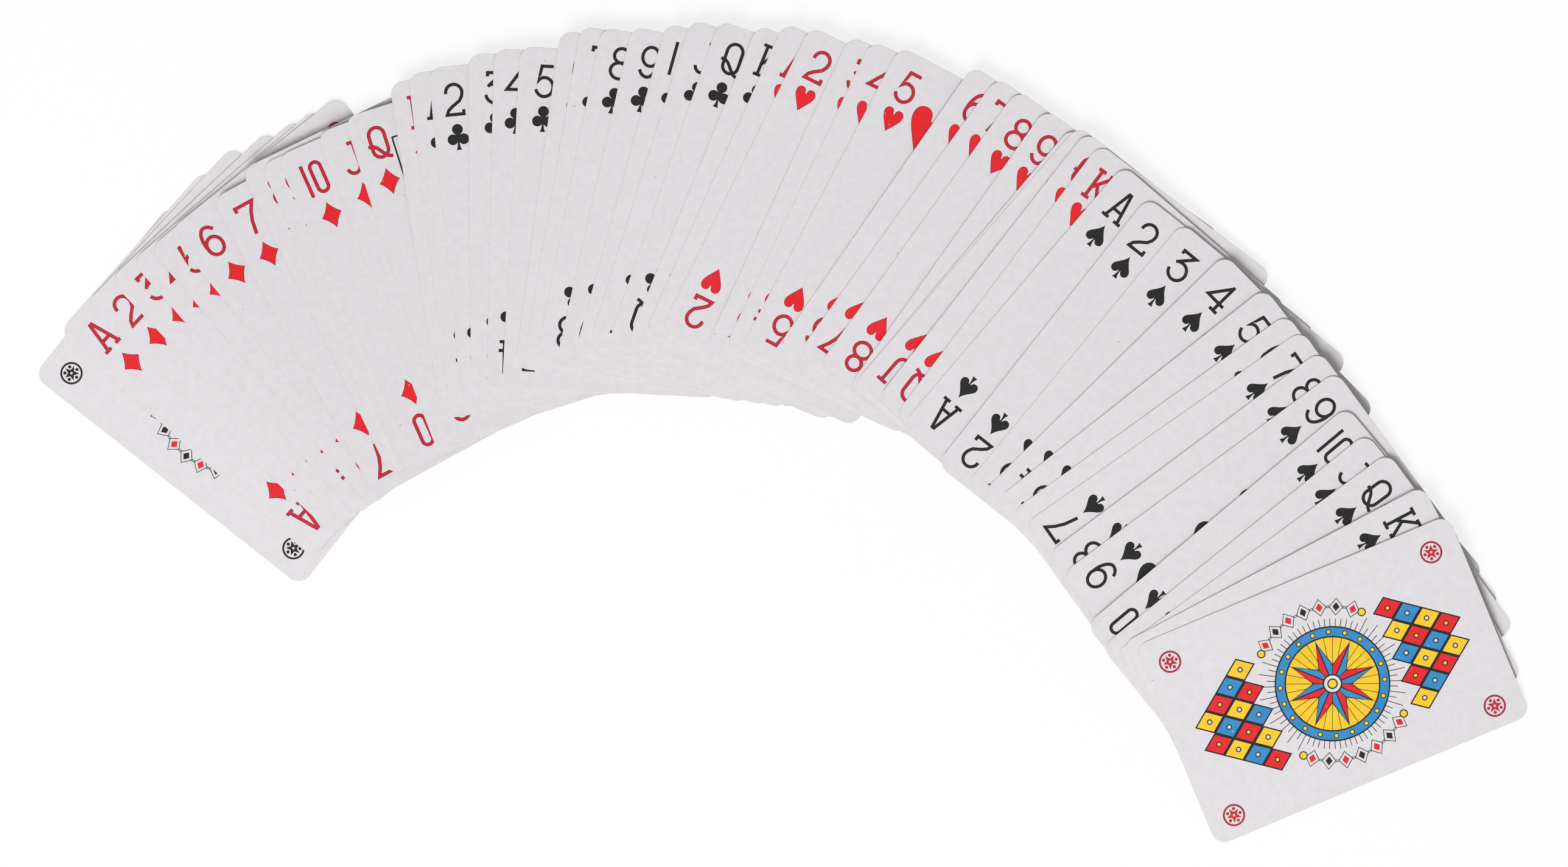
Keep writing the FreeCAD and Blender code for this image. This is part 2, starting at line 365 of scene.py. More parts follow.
def back_print():
    """The back: white, with a crossed lattice of thin lines and dots inside a plain margin."""
    material = coated_paper("card back")
    tree = material.node_tree
    skin = tree.nodes["Principled BSDF"]
    paper = skin.inputs["Base Color"].links[0].from_socket
    place = node(tree, "ShaderNodeUVMap", uv_map=CARD_MAP)
    axes = node(tree, "ShaderNodeSeparateXYZ")
    wire(tree, place.outputs["UV"], axes.inputs[0])

    def maths(operation, first, second=0.0):
        made = node(tree, "ShaderNodeMath", operation=operation)
        for socket, value in ((made.inputs[0], first), (made.inputs[1], second)):
            if isinstance(value, bpy.types.NodeSocket):
                wire(tree, value, socket)
            else:
                socket.default_value = value
        return made.outputs[0]

    def from_cell_middle(value):
        return maths("ABSOLUTE", maths("SUBTRACT", maths("FRACT", value), 0.5))

    x = maths("DIVIDE", axes.outputs[0], LATTICE_PITCH)
    y = maths("DIVIDE", axes.outputs[1], LATTICE_PITCH)
    rising = from_cell_middle(maths("ADD", x, y))
    falling = from_cell_middle(maths("SUBTRACT", x, y))
    lines = maths("GREATER_THAN", maths("MAXIMUM", rising, falling), LATTICE_LINES_FROM)
    dots = maths("LESS_THAN", maths("MAXIMUM", rising, falling), LATTICE_DOT_TO)
    pattern = maths("MAXIMUM", lines, dots)
    # how far each point is inside the margin, sideways and lengthways
    sideways = maths("SUBTRACT", card_width / 2 - BACK_MARGIN, maths("ABSOLUTE", axes.outputs[0]))
    endways = maths("SUBTRACT", card_length / 2 - BACK_MARGIN, maths("ABSOLUTE", axes.outputs[1]))
    inside = maths("MINIMUM", sideways, endways)
    field = maths("GREATER_THAN", inside, 0.0)
    rule = maths("MULTIPLY", field, maths("LESS_THAN", inside, BACK_RULE))
    gap = maths("GREATER_THAN", inside, BACK_RULE_GAP)
    printed = maths("MAXIMUM", rule, maths("MULTIPLY", gap, pattern))
    wire(tree, blend(tree, printed, paper, linear(*BACK_RED)), skin.inputs["Base Color"])
    return material


card_back = back_print()


def anticlockwise(outline):
    """The same closed outline, run so that its inside is on the left."""
    turns = zip(outline, outline[1:] + outline[:1])
    area = sum(x0 * y1 - x1 * y0 for (x0, y0), (x1, y1) in turns)
    return outline if area > 0 else outline[::-1]


def placed(shapes, x, y, turned=False):
    """Shapes moved to (x, y), and turned half round first if asked."""
    flip = -1 if turned else 1
    return [(ink, [(x + flip * px, y + flip * py) for px, py in line]) for ink, line in shapes]


def piece(name, verts, faces, kinds, materials, seat):
    """A mesh piece in its seat, from points in millimetres, with no point left unused.

    Its map holds each point's place on the card, in millimetres from the card's middle.
    """
    used = sorted({k for face in faces for k in face})
    new = {old: k for k, old in enumerate(used)}
    points = [seat @ (verts[k] * MM) for k in used]
    mesh = bpy.data.meshes.new(name)
    mesh.from_pydata(points, [], [[new[k] for k in face] for face in faces])
    spots = mesh.uv_layers.new(name=CARD_MAP).data
    for corner, spot in zip(mesh.loops, spots):
        spot.uv = verts[used[corner.vertex_index]].xy
    for material in materials:
        mesh.materials.append(material)
    mesh.polygons.foreach_set("material_index", kinds)
    mesh.update()
    made = bpy.data.objects.new(name, mesh)
    scene.collection.objects.link(made)
    return made


def lay_card(name, print_shapes, drift):
    """Cuts one card from the stock and prints it.

    print_shapes is a list of (ink, outline), in millimetres from the print's middle, in the order
    in which they are printed, so that a later one covers an earlier. The drift is how far the
    print sits from the card's middle, because no sheet is cut quite true. The face is cut along
    every outline, and what is inked becomes a thin layer of its own that lies flush in the face.
    """
    print_shapes = placed(print_shapes, *drift)
    seat, (width, length, thick) = seat_of(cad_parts[name])
    rim = rounded_sheet(width, length, ROLLED_EDGE)
    side = rounded_sheet(width, length, HAIR)
    steps = len(rim)
    points = list(rim)
    outlines = [list(range(steps))]
    for _, outline in print_shapes:
        outlines.append(list(range(len(points), len(points) + len(outline))))
        points += anticlockwise(outline)
    cut = delaunay_2d_cdt([Vector(p) for p in points], [], outlines, 1, CUT_FINENESS)
    flat, cells, sources, covers_of_cells = cut[0], cut[2], cut[3], cut[5]

    paper_cells = []
    ink_cells = []
    for cell, covers in zip(cells, covers_of_cells):
        last = max(covers)
        ink = print_shapes[last - 1][0] if last else BARE
        if ink == BARE:
            paper_cells.append(tuple(cell))
        else:
            ink_cells.append((tuple(cell), ink))

    # the blank: the face, the rolled edge, the cut side, and the back
    face = [Vector((p.x, p.y, thick)) for p in flat]
    verts = list(face)
    where = {old: k for k, olds in enumerate(sources) for old in olds}
    loops = [[where[k] for k in range(steps)]]
    for outline, height in ((side, thick - ROLLED_DEPTH), (side, ROLLED_DEPTH), (rim, 0.0)):
        loops.append(list(range(len(verts), len(verts) + steps)))
        verts += [Vector((x, y, height)) for x, y in outline]
    faces = list(paper_cells)
    kinds = [0] * len(faces)
    for upper, lower in zip(loops, loops[1:]):
        for k in range(steps):
            m = (k + 1) % steps
            faces.append((upper[k], lower[k], lower[m], upper[m]))
            kinds.append(1)
    faces.append(tuple(reversed(loops[-1])))
    kinds.append(2)
    blank = piece(name + ".card", verts, faces, kinds, [face_white, cut_edge, card_back], seat)
    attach(blank, name)
    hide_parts(name)

    used = sorted({ink for _, ink in ink_cells})
    kinds = [used.index(ink) for _, ink in ink_cells]
    inked = [cell for cell, _ in ink_cells]
    layer = piece(name + ".print", face, inked, kinds, [INKS[ink] for ink in used], seat)
    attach(layer, name)


def both_ends(shapes):
    """Shapes in one half of a card, and again in the other half, turned half round."""
    return shapes + placed(shapes, 0, 0, turned=True)


def disc(ink, x, y, radius, steps=20):
    return (ink, arc(x, y, radius, radius, 0, 360 * (steps - 1) / steps, steps - 1))


def lozenge(ink, x, y, across, up):
    return (ink, [(x + across, y), (x, y + up), (x - across, y), (x, y - up)])


def star(ink, x, y, points, outer, inner):
    """A star with that many points, the first of them straight up."""
    outline = []
    for k in range(2 * points):
        reach = inner if k % 2 else outer
        a = math.radians(90 + 180 * k / points)
        outline.append((x + reach * math.cos(a), y + reach * math.sin(a)))
    return (ink, outline)


def polar(reach, turn):
    """The point at a distance from the middle, in the direction of a turn in degrees."""
    return (reach * math.cos(math.radians(turn)), reach * math.sin(math.radians(turn)))


def ray(ink, turn, start, end, width):
    """A fine line that runs outward from the middle."""
    half = math.degrees(width / 2 / start)
    thin = half * start / end
    foot = [polar(start, turn - half), polar(end, turn - thin)]
    return (ink, foot + [polar(end, turn + thin), polar(start, turn + half)])


def bow(ink, inner, outer, start, end, steps=20):
    """Part of a ring round the middle."""
    outside = arc(0, 0, outer, outer, start, end, steps)
    return (ink, outside + arc(0, 0, inner, inner, end, start, steps))


def turned_lozenge(ink, reach, turn, along, across):
    """A lozenge at a distance from the middle, with one axis pointing outward."""
    lift = math.degrees(across / reach)
    outside = [polar(reach + along, turn), polar(reach, turn + lift)]
    return (ink, outside + [polar(reach - along, turn), polar(reach, turn - lift)])


# the corner mark: its place from the card's side and end, its ring, its star's tips and notches,
# the eye in the star, and the dots between the tips
MARK_FROM_SIDE = 6.6
MARK_FROM_END = 7.5
MARK_RING = (2.95, 2.42)
MARK_STAR = (2.05, 0.86)
MARK_STAR_FILL = (1.6, 0.66)
MARK_EYE = 0.34
MARK_DOTS_REACH = 1.72
MARK_DOT = 0.44
MARK_DOT_FILL = 0.24


def joker_mark(ink, fill):
    """A ring, with a five-pointed star and dots between its points, filled with a second ink."""
    outer, inner = MARK_RING
    marks = [disc(ink, 0, 0, outer, 32), disc(BARE, 0, 0, inner, 32)]
    marks += [star(ink, 0, 0, 5, *MARK_STAR), star(fill, 0, 0, 5, *MARK_STAR_FILL)]
    marks.append(disc(BARE, 0, 0, MARK_EYE, 10))
    for k in range(5):
        x, y = polar(MARK_DOTS_REACH, 90 + 36 + 72 * k)
        marks += [disc(ink, x, y, MARK_DOT, 12), disc(fill, x, y, MARK_DOT_FILL, 10)]
    return marks


# the medallion's blue rim with its studs, and its yellow field with its spokes, star and hub; of
# two radii the first is the black line's and the second the ink's inside it
RIM_RADII = (15.2, 14.8)
STUDS = 20
STUD_REACH = 13.7
STUD_RADII = (0.72, 0.48)
FIELD_RADII = (12.6, 12.2)
SPOKES = 32
SPOKE_ENDS = (5.0, 12.3)
SPOKE_WIDTH = 0.16
STAR_LINE = (11.9, 5.2)
STAR_TIP, STAR_NOTCH = 11.0, 4.9
HUB = ((BLACK, 2.6), (BARE, 2.2), (BLACK, 1.4), (YELLOW, 1.05))
# the rays round it: short by turns, and all short towards the strings on either side
RAYS = 72
RAY_ENDS = (15.0, 17.2, 19.4)
RAY_WIDTH = 0.2
STRINGS_FROM = 0.72
# the harlequin rows: the height of each and how many lozenges it has, and their pitch and sizes
HARLEQUIN_ROWS = ((20.9, 5), (25.1, 4), (29.3, 3), (33.5, 2))
HARLEQUIN_PITCH = 6.4
HARLEQUIN_LINE = (3.2, 4.2)
HARLEQUIN_FILL = (2.75, 3.6)
HARLEQUIN_EYE = (0.75, 0.45)
# the string on each side: its threads, its lozenges with their fills, and the bead at each end
STRING_REACH = 20.3
STRING_THREADS = ((20.0, 20.18), (20.42, 20.6))
STRING_TURN = 42
STRUNG = 7
STRUNG_PITCH = 12.5
STRUNG_LINE = (2.35, 1.95)
STRUNG_WHITE = (2.05, 1.68)
STRUNG_FILL = (1.2, 0.95)
BEAD_TURN = 44.5
BEAD_RADII = (1.15, 0.85)


def lined_disc(ink, x, y, radii, steps):
    """A disc of ink inside a black line."""
    return [disc(BLACK, x, y, radii[0], steps), disc(ink, x, y, radii[1], steps)]


def joker_face(mark_ink, mark_fill):
    """A star on a medallion amid rays, strung lozenges and harlequin rows, the same either way up."""
    shapes = []
    start, short, long = RAY_ENDS
    for k in range(RAYS):
        turn = 360 / RAYS * k
        beside = abs(math.cos(math.radians(turn))) > STRINGS_FROM
        shapes.append(ray(BLACK, turn, start, short if k % 2 or beside else long, RAY_WIDTH))
    half = []
    for row, (y, count) in enumerate(HARLEQUIN_ROWS):
        for k in range(count):
            x = (k - (count - 1) / 2) * HARLEQUIN_PITCH
            tint = (k - row) % 3
            half.append(lozenge(BLACK, x, y, *HARLEQUIN_LINE))
            half.append(lozenge((RED, YELLOW, BLUE)[tint], x, y, *HARLEQUIN_FILL))
            half.append(disc(BLACK, x, y, HARLEQUIN_EYE[0], 12))
            half.append(disc((YELLOW, BARE, BARE)[tint], x, y, HARLEQUIN_EYE[1], 10))
    for inner, outer in STRING_THREADS:
        half.append(bow(BLACK, inner, outer, -STRING_TURN, STRING_TURN))
    for k in range(STRUNG):
        turn = (k - 3) * STRUNG_PITCH
        half.append(turned_lozenge(BLACK, STRING_REACH, turn, *STRUNG_LINE))
        half.append(turned_lozenge(BARE, STRING_REACH, turn, *STRUNG_WHITE))
        half.append(turned_lozenge((RED, BLACK)[k % 2], STRING_REACH, turn, *STRUNG_FILL))
    for way in (-1, 1):
        half += lined_disc(YELLOW, *polar(STRING_REACH, way * BEAD_TURN), BEAD_RADII, 14)
    shapes += both_ends(half)
    shapes += lined_disc(BLUE, 0, 0, RIM_RADII, 56)
    shapes += lined_disc(YELLOW, 0, 0, FIELD_RADII, 48)
    for k in range(STUDS):
        shapes += lined_disc(YELLOW, *polar(STUD_REACH, 360 / STUDS * k), STUD_RADII, 10)
    for k in range(SPOKES):
        shapes.append(ray(BLACK, 360 / SPOKES * k, *SPOKE_ENDS, SPOKE_WIDTH))
    # an eight-pointed star, each point red on one side and blue on the other
    shapes.append(star(BLACK, 0, 0, 8, *STAR_LINE))
    for k in range(8):
        turn = 90 + 45 * k
        for ink, way in ((RED, 1), (BLUE, -1)):
            root, tip = polar(1, turn + 9 * way), polar(STAR_TIP, turn + 0.9 * way)
            notch, inmost = polar(STAR_NOTCH, turn + 21 * way), polar(1, turn + 20 * way)
            shapes.append((ink, [root, tip, notch, inmost]))
    shapes += [disc(ink, 0, 0, reach) for ink, reach in HUB]
    for x in (-1, 1):
        for y in (-1, 1):
            corner_x = x * (card_width / 2 - MARK_FROM_SIDE)
            corner_y = y * (card_length / 2 - MARK_FROM_END)
            shapes += placed(joker_mark(mark_ink, mark_fill), corner_x, corner_y, turned=y < 0)
    return shapes


lay_card("joker_black", joker_face(BLACK, BLACK), (0.1, 0.2))
lay_card("joker_red", joker_face(CRIMSON, DEEP_RED), (0.75, -0.3))


# The number cards of the diamonds, ace to ten. Each has its numeral over a small pip in all four
# corners, and as many large pips as it counts, in two or three rows, the lower half turned over.
# Red print shows a dark rim, where the outline plate runs under the red.
INDEX_FROM_SIDE = 6.82
INDEX_FROM_END = 8.72
STROKE = 0.86
RED_STROKE = 0.95
INDEX_RIM = 0.26
RED_RIM = 0.15
# how far a corner's pip hangs below its numeral
PIP_DROP = {"diamond": 10.45, "club": 9.85, "heart": 9.5, "spade": 9.6}
# the large pips: from the middle to a side column and to the top row, and their size
COLUMN = 11.8
TOP_ROW = 27.25
LARGE = 2.06
ACE = 2.9
# how sharp a corner may be before a stroke or a rim stops growing out into it
STROKE_MITRE = 0.3
RIM_MITRE = 0.45
# points of a stroke that are nearer than this are one, and so are those of a pip and its middle
SAME_SPOT = 0.02
SAME_AXIS = 0.001


def stroke(points, width, trim=0.0):
    """The outline of a pen stroke along points, with square ends and sharp corners."""
    points = [Vector(p) for p in points]
    points[0] += (points[1] - points[0]).normalized() * trim
    points[-1] += (points[-2] - points[-1]).normalized() * trim
    left, right = [], []
    for k, p in enumerate(points):
        before = (p - points[k - 1]).normalized() if k else None
        after = (points[k + 1] - p).normalized() if k < len(points) - 1 else None
        way = ((before or after) + (after or before)).normalized()
        side = Vector((-way.y, way.x))
        onward = after or before
        reach = width / 2 / max(STROKE_MITRE, side.dot(Vector((-onward.y, onward.x))))
        left.append(tuple(p + side * reach))
        right.append(tuple(p - side * reach))
    return left + right[::-1]


def without_repeats(points):
    """Points along a stroke, less those that fall on the one before."""
    kept = [points[0]]
    for p in points[1:]:
        if math.dist(p, kept[-1]) > SAME_SPOT:
            kept.append(p)
    return kept


def loop(x, y, across, up, straight=0.0):
    """An oval pen stroke as two halves, whose ends overlap."""
    over = 12
    high, low = y + straight, y - straight
    right = arc(x, high, across, up, 90 + over, 0, 9) + arc(x, low, across, up, 0, -90 - over, 9)
    left = arc(x, high, across, up, 90 - over, 180, 9) + arc(x, low, across, up, 180, 270 + over, 9)
    return [(without_repeats(right), 0), (without_repeats(left), 0)]


def bent(*parts):
    """One pen stroke through several runs of points, with both its ends drawn back."""
    return (without_repeats([p for part in parts for p in part]), 1)


# The index marks' pen strokes, in millimetres from the mark's middle, and the share of the red
# rim that each end is drawn back by.
SIX = loop(0.1, -1.5, 2.15, 2.5)
SIX += [bent(arc(0.25, 1.1, 2.3, 2.85, 25, 90, 5), arc(0.25, -0.6, 2.3, 4.55, 90, 182, 9))]
NUMERALS = {
    "A": [
        ([(-0.22, 4.3), (-2.0, -4.2)], 0),
        ([(0.22, 4.3), (2.0, -4.2)], 0),
        ([(-1.6, -1.35), (1.6, -1.35)], 0),
        ([(-3.0, -4.0), (-0.85, -4.0)], 1),
        ([(0.85, -4.0), (3.0, -4.0)], 1),
        ([(-0.6, 4.0), (0.6, 4.0)], 1),
    ],
    "2": [
        bent(
            arc(0.0, 1.75, 2.15, 2.2, 185, 0, 12),
            [(1.95, 0.7), (1.25, -0.5), (-0.6, -1.75), (-1.75, -2.75)],
            [(-2.25, -3.95), (2.15, -3.95), (2.15, -2.75)],
        ),
    ],
    "3": [
        ([(-1.95, 2.95), (-1.95, 3.95), (2.0, 3.95), (-1.9, 0.3)], 1),
        bent([(-1.3, 0.85)], arc(-0.05, -1.5, 2.4, 2.5, 112, -172, 16)),
    ],
    "4": [
        ([(1.6, 4.35), (1.6, -3.95)], 0),
        ([(1.75, 4.1), (-2.45, -1.65), (3.1, -1.65)], 1),
        ([(0.3, -3.95), (2.9, -3.95)], 1),
    ],
    "5": [
        bent(
            [(2.1, 3.95), (-0.95, 3.95), (-1.6, 0.25)],
            arc(-0.1, -1.5, 2.3, 2.5, 122, -165, 16),
        ),
    ],
    "6": SIX,
    "7": [
        bent([(-2.3, 2.75), (-2.3, 3.95), (2.65, 3.95)], [(1.3, 1.7), (0.35, -0.7), (-0.3, -4.35)]),
    ],
    "8": loop(0, 2.1, 1.95, 1.9) + loop(0, -1.9, 2.3, 2.1),
    "9": [([(-x, -y) for x, y in points], trim) for points, trim in SIX],
    "10": [([(-2.5, 4.45), (-2.5, -4.45)], 1)] + loop(1.0, 0, 1.4, 1.4, 2.65),
    "J": [
        bent(
            [(1.2, 4.2), (1.2, -2.0)],
            arc(-0.6, -2.0, 1.8, 2.0, -10, -90, 7),
            arc(-0.6, -2.0, 1.75, 2.0, -100, -168, 5),
        ),
        ([(-0.35, 3.95), (2.6, 3.95)], 1),
    ],
    "Q": loop(0.25, 0.1, 2.05, 2.05, 1.9) + [
        bent([(-2.75, -0.55), (-1.6, -0.55), (-0.6, -1.2)], [(0.9, -3.1), (1.7, -3.9), (2.9, -4.35)]),
    ],
    "K": [
        ([(-1.65, 4.2), (-1.65, -4.2)], 0),
        ([(-2.8, 3.98), (-0.5, 3.98)], 1),
        ([(-2.8, -3.98), (-0.5, -3.98)], 1),
        ([(-1.5, -0.95), (1.95, 4.1)], 0),
        ([(-0.7, 0.4), (2.0, -4.1)], 0),
        ([(0.8, 3.98), (2.85, 3.98)], 1),
        ([(0.9, -3.98), (2.95, -3.98)], 1),
    ],
}


def drawn_in(outline, depth):
    """A closed outline with every point moved inward by a depth."""
    count = len(outline)
    outline = anticlockwise(outline)
    moved = []
    for k, p in enumerate(outline):
        before = (Vector(p) - Vector(outline[k - 1])).normalized()
        after = (Vector(outline[(k + 1) % count]) - Vector(p)).normalized()
        way = (before + after).normalized()
        inward = Vector((-way.y, way.x))
        reach = depth / max(RIM_MITRE, inward.dot(Vector((-after.y, after.x))))
        moved.append(tuple(Vector(p) + inward * reach))
    return moved


def curve(start, first, second, end, steps=6):
    """Points along a bent line from start, pulled towards two others, without its end."""
    pulls = (start, first, second, end)
    points = []
    for k in range(steps):
        t = k / steps
        weights = ((1 - t) ** 3, 3 * t * (1 - t) ** 2, 3 * t * t * (1 - t), t**3)
        points.append(tuple(sum(w * p[i] for w, p in zip(weights, pulls)) for i in (0, 1)))
    return points


def mirrored(right_half):
    """A closed outline from its right half, which runs from the foot up to the top."""
    left = [(-x, y) for x, y in reversed(right_half) if x > SAME_AXIS]
    return right_half + left


def sized(outline, scale):
    return [(x * scale, y * scale) for x, y in outline]


def red_pip(outline, scale):
    """A pip in red with its dark rim."""
    large = sized(outline, scale)
    return [(CRIMSON, large), (RED, drawn_in(large, RED_RIM))]


# a small diamond, 5.6 by 7.2 mm, with hollow sides
DIAMOND = mirrored(
    curve((0, -3.6), (0.75, -2.1), (1.6, -0.9), (2.8, 0), 5)
    + curve((2.8, 0), (1.6, 0.9), (0.75, 2.1), (0, 3.6), 5)
    + [(0, 3.6)]
)


def diamond_pip(scale):
    return red_pip(DIAMOND, scale)


def numeral(rank, is_red):
    """A corner's numeral or letter, in black or in red with its dark rim."""
    strokes = NUMERALS[rank]
    if not is_red:
        return [(BLACK, stroke(points, STROKE)) for points, _ in strokes]
    rims = [(CRIMSON, stroke(points, RED_STROKE)) for points, _ in strokes]
    core = RED_STROKE - 2 * INDEX_RIM
    return rims + [(DEEP_RED, stroke(points, core, trim * INDEX_RIM)) for points, trim in strokes]


def corner_marks(rank, suit, pip):
    """The index in all four corners, the lower two turned over."""
    mark = numeral(rank, suit in ("diamond", "heart")) + placed(pip(1.0), 0, -PIP_DROP[suit])
    x = card_width / 2 - INDEX_FROM_SIDE
    y = card_length / 2 - INDEX_FROM_END
    return both_ends(placed(mark, -x, y) + placed(mark, x, y))


def pip_places(count):
    """Where the large pips go: column, height as a share of the top row's, and turned over."""
    rows = {4: (1,), 5: (1,), 6: (1, 0), 7: (1, 0), 8: (1, 0), 9: (1, 1 / 3), 10: (1, 1 / 3)}
    places = []
    for height in rows.get(count, ()):
        for column in (-1, 1):
            places.append((column, height, False))
            if height:
                places.append((column, -height, True))
    if count in (2, 3):
        places += [(0, 1, False), (0, -1, True)]
    if count in (1, 3, 5, 9):
        places.append((0, 0, False))
    if count in (7, 8):
        places.append((0, 0.5, False))
    if count == 8:
        places.append((0, -0.5, True))
    if count == 10:
        places += [(0, 2 / 3, False), (0, -2 / 3, True)]
    return places


RANKS = ["ace", "two", "three", "four", "five", "six", "seven", "eight", "nine", "ten"]


def number_cards(suit, pip, drifts):
    """Lays the ten number cards of a suit."""
    for count, (word, drift) in enumerate(zip(RANKS, drifts), 1):
        rank = "A" if count == 1 else str(count)
        shapes = corner_marks(rank, suit, pip)
        scale = ACE if count == 1 else LARGE
        for column, height, turned in pip_places(count):
            shapes += placed(pip(scale), column * COLUMN, height * TOP_ROW, turned)
        lay_card(word + "_of_" + suit + "s", shapes, drift)


DIAMOND_DRIFTS = [
    (0.05, -0.25), (0.05, -0.2), (0.4, 0.0), (0.05, -0.35), (0.1, -0.2),
    (0.3, -0.4), (-0.6, -0.4), (0.3, -0.15), (0.0, -0.1), (0.35, -0.5),
]
number_cards("diamond", diamond_pip, DIAMOND_DRIFTS)


# The number cards of the clubs, ace to ten, printed in plain black. The pip is three leaves about
# a short stem with a spread foot.
CLUB_LEAVES = [(0, 1.97, 1.43), (-1.42, -0.62, 1.42), (1.42, -0.62, 1.42)]
CLUB_STEM = mirrored(
    [(0, -3.4), (0.72, -3.4)]
    + curve((0.72, -3.4), (0.45, -2.9), (0.25, -2.1), (0.2, -0.9), 5)
    + [(0.9, 0.3), (0.2, 1.2), (0, 1.2)]
)


def club_pip(scale):
    leaves = [disc(BLACK, x * scale, y * scale, r * scale, 22) for x, y, r in CLUB_LEAVES]
    return leaves + [(BLACK, sized(CLUB_STEM, scale))]


CLUB_DRIFTS = [
    (-0.2, 0.45), (-0.75, -0.05), (0.15, -0.15), (-0.75, -0.1), (0.2, -0.05),
    (0.2, 0.0), (-0.2, -0.15), (-0.1, 0.15), (-0.05, 0.4), (-0.05, 0.2),
]
number_cards("club", club_pip, CLUB_DRIFTS)


# The number cards of the hearts, ace to ten, in red with the dark rim. The pip has two full lobes
# with a narrow cleft between them, and is drawn large and brought down to 5.4 by 6.4 mm.
HEART_ACROSS = 0.4786
HEART_UP = 0.4832
HEART = [
    (x * HEART_ACROSS, y * HEART_UP)
    for x, y in mirrored(
        curve((0, -6.65), (2.9, -1.9), (5.6, 0.9), (5.6, 3.6), 8)
        + curve((5.6, 3.6), (5.6, 5.2), (4.6, 6.65), (2.85, 6.65), 6)
        + curve((2.85, 6.65), (1.6, 6.65), (0.6, 5.9), (0.42, 4.5), 5)
        + curve((0.42, 4.5), (0.38, 4.0), (0.34, 3.55), (0, 3.5), 3)
        + [(0, 3.5)]
    )
]


def heart_pip(scale):
    return red_pip(HEART, scale)


HEART_DRIFTS = [
    (0.65, -0.1), (-0.1, 0.1), (0.3, -0.25), (-0.15, -0.15), (0.05, -0.1),
    (0.25, -0.15), (-0.4, -0.2), (0.35, -0.65), (-0.55, -0.4), (0.0, 0.0),
]
number_cards("heart", heart_pip, HEART_DRIFTS)


# The number cards of the spades, ace to ten, in plain black. The pip is a leaf with two round
# lobes, cut in beside a thin stem with a spread foot.
SPADE = mirrored(
    [(0, -3.4), (0.72, -3.4)]
    + curve((0.72, -3.4), (0.42, -2.9), (0.22, -2.2), (0.19, -1.35), 4)
    + curve((0.19, -1.35), (0.2, -1.1), (0.38, -1.1), (0.42, -1.35), 3)
    + curve((0.42, -1.35), (0.55, -1.8), (0.9, -2.15), (1.45, -2.15), 4)
    + curve((1.45, -2.15), (2.1, -2.15), (2.6, -1.65), (2.6, -0.95), 5)
    + curve((2.6, -0.95), (2.6, -0.35), (2.25, 0.1), (1.65, 0.75), 4)
    + curve((1.65, 0.75), (1.0, 1.5), (0.35, 2.3), (0, 3.4), 5)
    + [(0, 3.4)]
)


def spade_pip(scale):
    return [(BLACK, sized(SPADE, scale))]


SPADE_DRIFTS = [
    (-0.1, -0.2), (-0.6, -0.2), (0.4, -0.45), (-0.1, 0.15), (0.1, -0.2),
    (0.5, -0.35), (-0.35, -0.3), (0.0, -0.25), (-0.55, -0.75), (-0.15, -0.4),
]
number_cards("spade", spade_pip, SPADE_DRIFTS)


# The twelve court cards: jack, queen and king of each suit. A thin black rule frames a picture
# that is the same either way up: arms under five plumes for the jack, a flower under a coronet
# for the queen, and a tall crown for the king, parted by a band of lozenges.
FRAME_FROM_SIDE = 10.6
FRAME_FROM_END = 8.2
FRAME_RULE = 0.45
OUTLINE = 0.3
GOLD_OUTLINE = 0.34
PETAL_OUTLINE = 0.26
TAB_OUTLINE = 0.24
ARMS_OUTLINE = 0.28
# the glory of fine rays behind each picture, and the pip in the picture's corner
GLORY_RAYS = 48
GLORY_ENDS = (6, 11.2, 13.4)
GLORY_HEIGHT = 19.4
COURT_PIP = 1.15
COURT_PIP_PLACE = (-13.6, 31.6)


def framed():
    """The rule round a court card's picture."""
    x = card_width / 2 - FRAME_FROM_SIDE
    y = card_length / 2 - FRAME_FROM_END
    outer = [(x, y), (-x, y), (-x, -y), (x, -y)]
    inner = [
        (px - math.copysign(FRAME_RULE, px), py - math.copysign(FRAME_RULE, py)) for px, py in outer
    ]
    return [(BLACK, outer), (BARE, inner)]


def lined(ink, outline, line=OUTLINE):
    """An outline in black, filled with an ink up to a line's width inside it."""
    return [(BLACK, outline), (ink, drawn_in(outline, line))]


# a crown's cap and gold, as shares of its width, half width and height; then its beads, its band
# and the band's jewels
CAP_SHARES = (0.4, 0.62)
CAP_LIFT = 2.6
GOLD_FOOT = 0.82
NOTCH_SIDE, NOTCH_RISE = 0.96, 0.42
OUTER_POINT_DROP = 0.16
CROWN_BEAD_RADII = (1.15, 0.85)
CROWN_BEAD_LIFT = 0.7
CROWN_BAND_HALF = 0.86
CROWN_BAND_FROM, CROWN_BAND_TO = 1.2, 2.2
JEWEL_PITCH = 0.36
JEWEL_LIFT = 0.5
JEWEL_LINE = 0.22
JEWEL_LOZENGE = (1.0, 1.15)
JEWEL_DISC = (0.85,)


